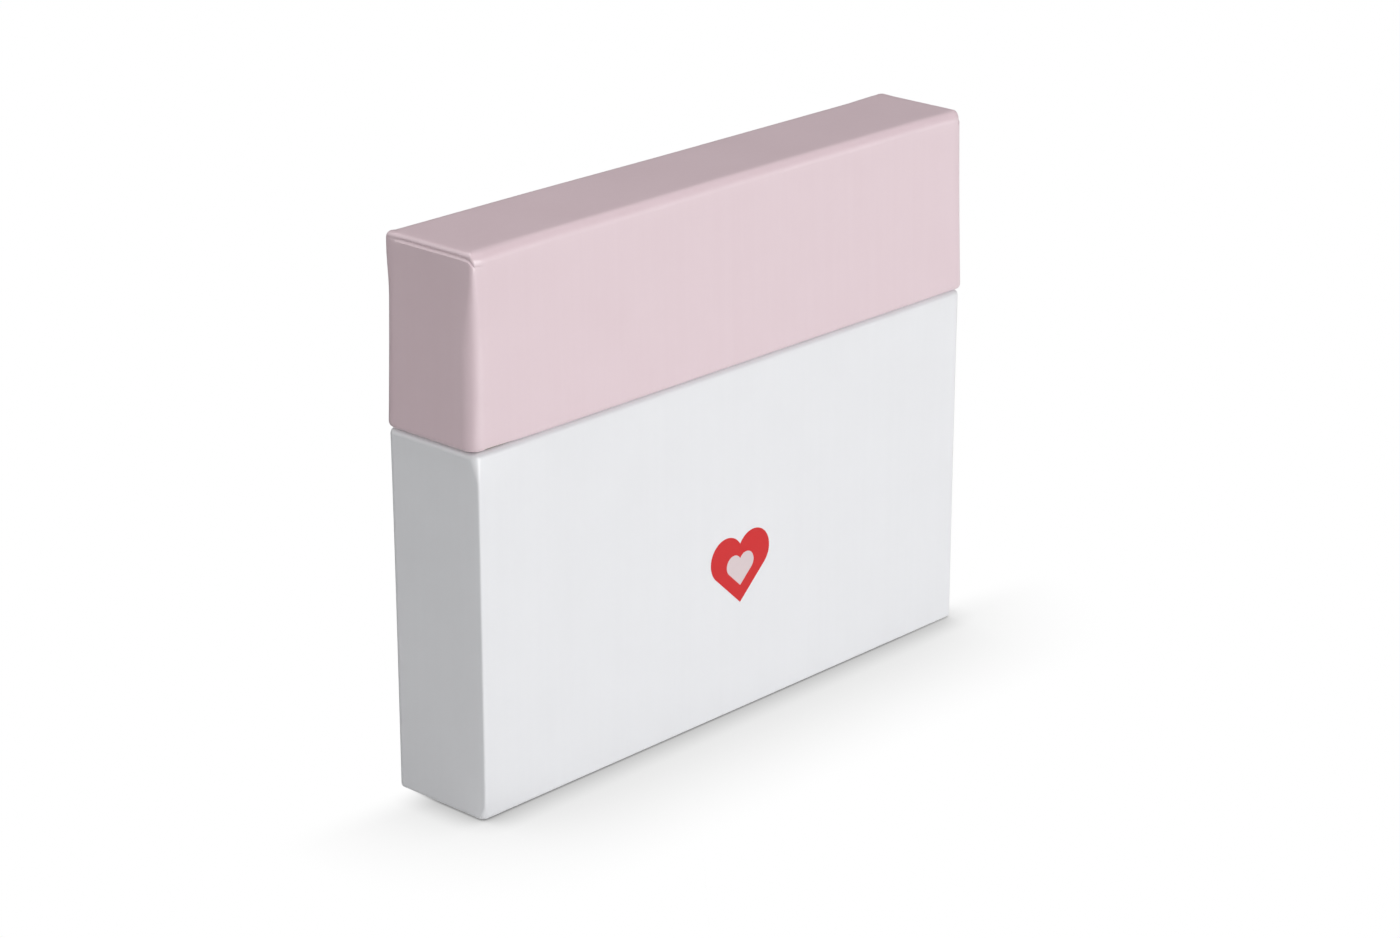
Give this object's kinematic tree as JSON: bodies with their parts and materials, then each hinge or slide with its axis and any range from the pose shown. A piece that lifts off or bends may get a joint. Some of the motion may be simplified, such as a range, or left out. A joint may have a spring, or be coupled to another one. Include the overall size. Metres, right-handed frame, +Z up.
{
  "type": "gift box",
  "caption": "Slim upright rigid gift box: a white base with a small heart print and a glued-in neck, and a pink lift-off lid that slides down over the neck.",
  "frame": {"origin": "middle of the underside, on the surface that the box stands on", "axes": "+X along the long front, to the right as the printed front is faced; +Y from the front to the back; +Z up, out of the base's mouth"},
  "size_m": [0.157, 0.027, 0.125],
  "materials": {
    "pink_paper": "matt laminated",
    "white_paper": "matt laminated",
    "neck_paper": "uncoated, smooth",
    "lining_paper": "uncoated, smooth",
    "greyboard": "raw recycled board",
    "gummed_tape": "kraft, matt",
    "red_ink": "printed, matt",
    "pink_ink": "printed, matt"
  },
  "bodies": {
    "base": {"base_front_board": "greyboard", "base_back_board": "greyboard", "base_left_board": "greyboard", "base_right_board": "greyboard", "base_floor_board": "greyboard", "base_corner_stays": "gummed_tape", "base_wrap": "white_paper", "base_bottom_sheet": "white_paper", "base_floor_liner": "lining_paper", "neck_board": "greyboard", "neck_joint_tape": "gummed_tape", "neck_wrap": "neck_paper", "heart_print_red": "red_ink", "heart_print_pink": "pink_ink"},
    "lid": {"lid_front_board": "greyboard", "lid_back_board": "greyboard", "lid_left_board": "greyboard", "lid_right_board": "greyboard", "lid_top_board": "greyboard", "lid_corner_stays": "gummed_tape", "lid_wrap": "pink_paper", "lid_wall_liner": "lining_paper", "lid_top_liner": "lining_paper"}
  },
  "joints": [
    {"name": "lid_lift", "type": "slide", "parent": "base", "child": "lid", "axis": [0, 0, 1], "range_m": [0, 0.06]}
  ]
}
